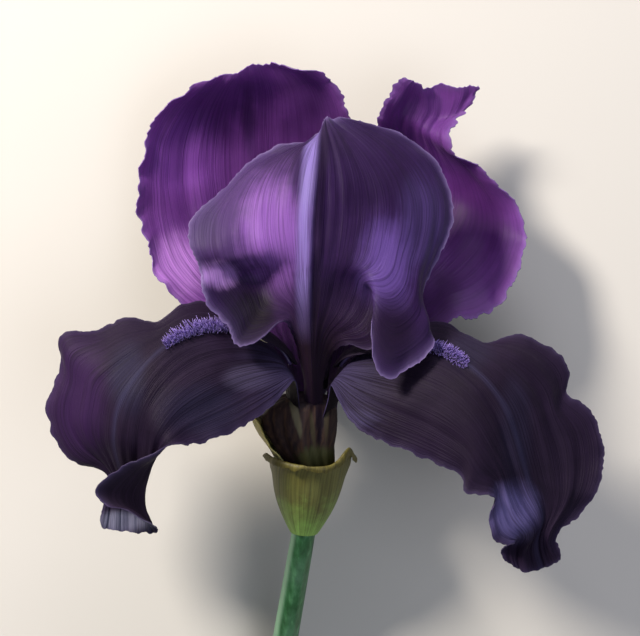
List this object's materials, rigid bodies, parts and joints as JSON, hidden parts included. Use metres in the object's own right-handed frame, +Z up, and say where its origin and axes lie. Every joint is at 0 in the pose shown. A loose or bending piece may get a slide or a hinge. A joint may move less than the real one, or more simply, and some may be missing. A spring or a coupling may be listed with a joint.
{
  "type": "bearded iris flower",
  "caption": "Purple bearded iris flower picked with a short stem, lying on its back, with upright ruffled standards, drooping falls with beards, and papery bracts.",
  "frame": {"origin": "centre of the footprint of the whole lying flower, on the surface that it rests on", "axes": "+X to the flower's right, +Y from the cut stem towards the top of the flower, +Z up, away from the surface and towards the front standard's outer face"},
  "size_m": [0.1514, 0.1888, 0.0655],
  "materials": {
    "stem": "waxy green skin",
    "ovary": "smooth green",
    "tube": "brown-purple with green stripes",
    "bract": "papery, olive and brown",
    "standard": "silky purple petal",
    "fall": "velvety near-black violet petal",
    "style_arm": "violet petal",
    "beard": "lavender hairs",
    "filament": "smooth violet",
    "anther": "powdery cream"
  },
  "bodies": {
    "root": {"stem": "stem", "ovary": "ovary", "perianth_tube": "tube", "outer_bract": "bract", "front_bract": "bract", "front_standard": "standard", "left_standard": "standard", "right_standard": "standard", "left_fall": "fall", "right_fall": "fall", "back_fall": "fall", "left_style_arm": "style_arm", "left_beard": "beard", "left_filament": "filament", "left_anther": "anther", "right_style_arm": "style_arm", "right_beard": "beard", "right_filament": "filament", "right_anther": "anther", "back_style_arm": "style_arm", "back_beard": "beard", "back_filament": "filament", "back_anther": "anther"}
  },
  "joints": []
}
